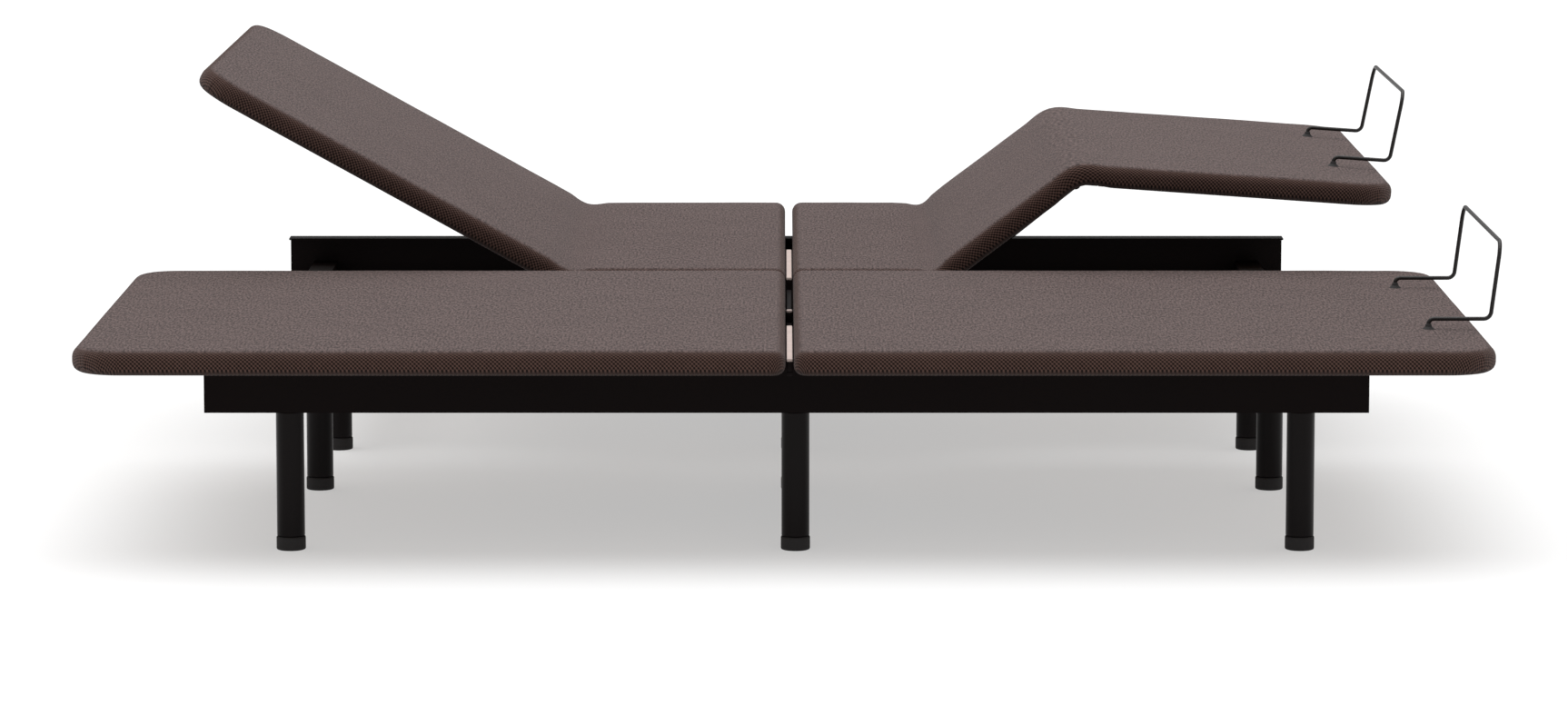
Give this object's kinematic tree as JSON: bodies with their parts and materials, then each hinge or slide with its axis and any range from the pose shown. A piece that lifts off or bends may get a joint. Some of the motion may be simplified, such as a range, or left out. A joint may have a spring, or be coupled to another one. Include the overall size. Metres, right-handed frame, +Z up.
{
  "type": "adjustable bed base",
  "caption": "Split adjustable bed base: two upholstered folding decks side by side on steel rails and round legs, with back and knee lift and mattress retainer bars.",
  "frame": {"origin": "centre of the bounding box on the floor, between the two halves", "axes": "+X towards the foot end, +Y towards the left half, +Z up"},
  "size_m": [2.06, 1.9304, 0.6342],
  "materials": {
    "fabric": "matte basket weave",
    "board": "plain",
    "frame": "satin black",
    "leg": "satin black",
    "housing": "fine texture",
    "rod": "drawn",
    "bar": "semi-gloss black"
  },
  "bodies": {
    "frame": {"right_outer_rail": "frame", "right_inner_rail": "frame", "right_head_cross": "frame", "right_centre_cross": "frame", "right_foot_cross": "frame", "right_outer_head_leg": "leg", "right_inner_head_leg": "leg", "right_outer_middle_leg": "leg", "right_inner_middle_leg": "leg", "right_outer_foot_leg": "leg", "right_inner_foot_leg": "leg", "right_head_seat_deck": "board", "right_head_seat_pad": "fabric", "right_foot_seat_deck": "board", "right_foot_seat_pad": "fabric", "right_head_drive": "housing", "right_foot_drive": "housing", "right_control_box": "housing", "left_outer_rail": "frame", "left_inner_rail": "frame", "left_head_cross": "frame", "left_centre_cross": "frame", "left_foot_cross": "frame", "left_outer_head_leg": "leg", "left_inner_head_leg": "leg", "left_outer_middle_leg": "leg", "left_inner_middle_leg": "leg", "left_outer_foot_leg": "leg", "left_inner_foot_leg": "leg", "left_head_seat_deck": "board", "left_head_seat_pad": "fabric", "left_foot_seat_deck": "board", "left_foot_seat_pad": "fabric", "left_head_drive": "housing", "left_foot_drive": "housing", "left_control_box": "housing"},
    "right_back": {"right_back_deck": "board", "right_back_pad": "fabric"},
    "right_thigh": {"right_thigh_deck": "board", "right_thigh_pad": "fabric"},
    "right_calf": {"right_calf_deck": "board", "right_calf_pad": "fabric", "right_retainer_bar": "bar"},
    "right_head_lifter_arm": {"right_head_lifter": "frame"},
    "right_foot_lifter_arm": {"right_foot_lifter": "frame"},
    "right_head_rod_slide": {"right_head_rod": "rod"},
    "right_foot_rod_slide": {"right_foot_rod": "rod"},
    "right_link": {"right_calf_link": "frame"},
    "left_back": {"left_back_deck": "board", "left_back_pad": "fabric"},
    "left_thigh": {"left_thigh_deck": "board", "left_thigh_pad": "fabric"},
    "left_calf": {"left_calf_deck": "board", "left_calf_pad": "fabric", "left_retainer_bar": "bar"},
    "left_head_lifter_arm": {"left_head_lifter": "frame"},
    "left_foot_lifter_arm": {"left_foot_lifter": "frame"},
    "left_head_rod_slide": {"left_head_rod": "rod"},
    "left_foot_rod_slide": {"left_foot_rod": "rod"},
    "left_link": {"left_calf_link": "frame"}
  },
  "joints": [
    {"name": "right_back_hinge", "type": "hinge", "parent": "frame", "child": "right_back", "pos_m": [-0.364, -0.4846, 0.272], "axis": [0, 1, 0], "range_deg": [0, 60]},
    {"name": "right_thigh_hinge", "type": "hinge", "parent": "frame", "child": "right_thigh", "pos_m": [0.236, -0.4846, 0.272], "axis": [0, -1, 0], "range_deg": [0, 45]},
    {"name": "right_knee_hinge", "type": "hinge", "parent": "right_thigh", "child": "right_calf", "pos_m": [0.511, -0.4846, 0.272], "axis": [0, 1, 0], "range_deg": [0, 50.06]},
    {"name": "right_head_lifter_pivot", "type": "hinge", "parent": "frame", "child": "right_head_lifter_arm", "pos_m": [-0.384, -0.4846, 0.242], "axis": [0, 1, 0], "range_deg": [0, 60.64]},
    {"name": "right_foot_lifter_pivot", "type": "hinge", "parent": "frame", "child": "right_foot_lifter_arm", "pos_m": [0.256, -0.4846, 0.242], "axis": [0, -1, 0], "range_deg": [0, 46.82]},
    {"name": "right_head_drive_rod", "type": "slide", "parent": "frame", "child": "right_head_rod_slide", "axis": [-1, 0, 0], "range_m": [0, 0.0455]},
    {"name": "right_foot_drive_rod", "type": "slide", "parent": "frame", "child": "right_foot_rod_slide", "axis": [1, 0, 0], "range_m": [0, 0.03581]},
    {"name": "right_link_pivot", "type": "hinge", "parent": "frame", "child": "right_link", "pos_m": [0.256, -0.4846, 0.242], "axis": [0, -1, 0], "range_deg": [0, 46.96]},
    {"name": "left_back_hinge", "type": "hinge", "parent": "frame", "child": "left_back", "pos_m": [-0.364, 0.4846, 0.272], "axis": [0, 1, 0], "range_deg": [-29, 31]},
    {"name": "left_thigh_hinge", "type": "hinge", "parent": "frame", "child": "left_thigh", "pos_m": [0.236, 0.4846, 0.272], "axis": [0, -1, 0], "range_deg": [-37, 8]},
    {"name": "left_knee_hinge", "type": "hinge", "parent": "left_thigh", "child": "left_calf", "pos_m": [0.45563, 0.4846, 0.4375], "axis": [0, 1, 0], "range_deg": [-41.2, 9.06]},
    {"name": "left_head_lifter_pivot", "type": "hinge", "parent": "frame", "child": "left_head_lifter_arm", "pos_m": [-0.384, 0.4846, 0.242], "axis": [0, 1, 0], "range_deg": [-29.41, 31.43]},
    {"name": "left_foot_lifter_pivot", "type": "hinge", "parent": "frame", "child": "left_foot_lifter_arm", "pos_m": [0.256, 0.4846, 0.242], "axis": [0, -1, 0], "range_deg": [-38.53, 8.49]},
    {"name": "left_head_drive_rod", "type": "slide", "parent": "frame", "child": "left_head_rod_slide", "axis": [-1, 0, 0], "range_m": [-0.0221, 0.02361]},
    {"name": "left_foot_drive_rod", "type": "slide", "parent": "frame", "child": "left_foot_rod_slide", "axis": [1, 0, 0], "range_m": [-0.02948, 0.00653]},
    {"name": "left_link_pivot", "type": "hinge", "parent": "frame", "child": "left_link", "pos_m": [0.256, 0.4846, 0.242], "axis": [0, -1, 0], "range_deg": [-38.65, 8.51]}
  ],
  "couplings": [
    {"joint": "right_head_lifter_pivot", "follows": "right_back_hinge", "ratio": 1.0074},
    {"joint": "right_head_drive_rod", "follows": "right_back_hinge", "m_per_rad": 0.04326},
    {"joint": "right_knee_hinge", "follows": "right_thigh_hinge", "ratio": 1.1081},
    {"joint": "right_foot_lifter_pivot", "follows": "right_thigh_hinge", "ratio": 1.036},
    {"joint": "right_foot_drive_rod", "follows": "right_thigh_hinge", "m_per_rad": 0.045346},
    {"joint": "right_link_pivot", "follows": "right_thigh_hinge", "ratio": 1.0392},
    {"joint": "left_head_lifter_pivot", "follows": "left_back_hinge", "ratio": 1.0074},
    {"joint": "left_head_drive_rod", "follows": "left_back_hinge", "m_per_rad": 0.04326},
    {"joint": "left_knee_hinge", "follows": "left_thigh_hinge", "ratio": 1.1081},
    {"joint": "left_foot_lifter_pivot", "follows": "left_thigh_hinge", "ratio": 1.036},
    {"joint": "left_foot_drive_rod", "follows": "left_thigh_hinge", "m_per_rad": 0.045346},
    {"joint": "left_link_pivot", "follows": "left_thigh_hinge", "ratio": 1.0392}
  ]
}
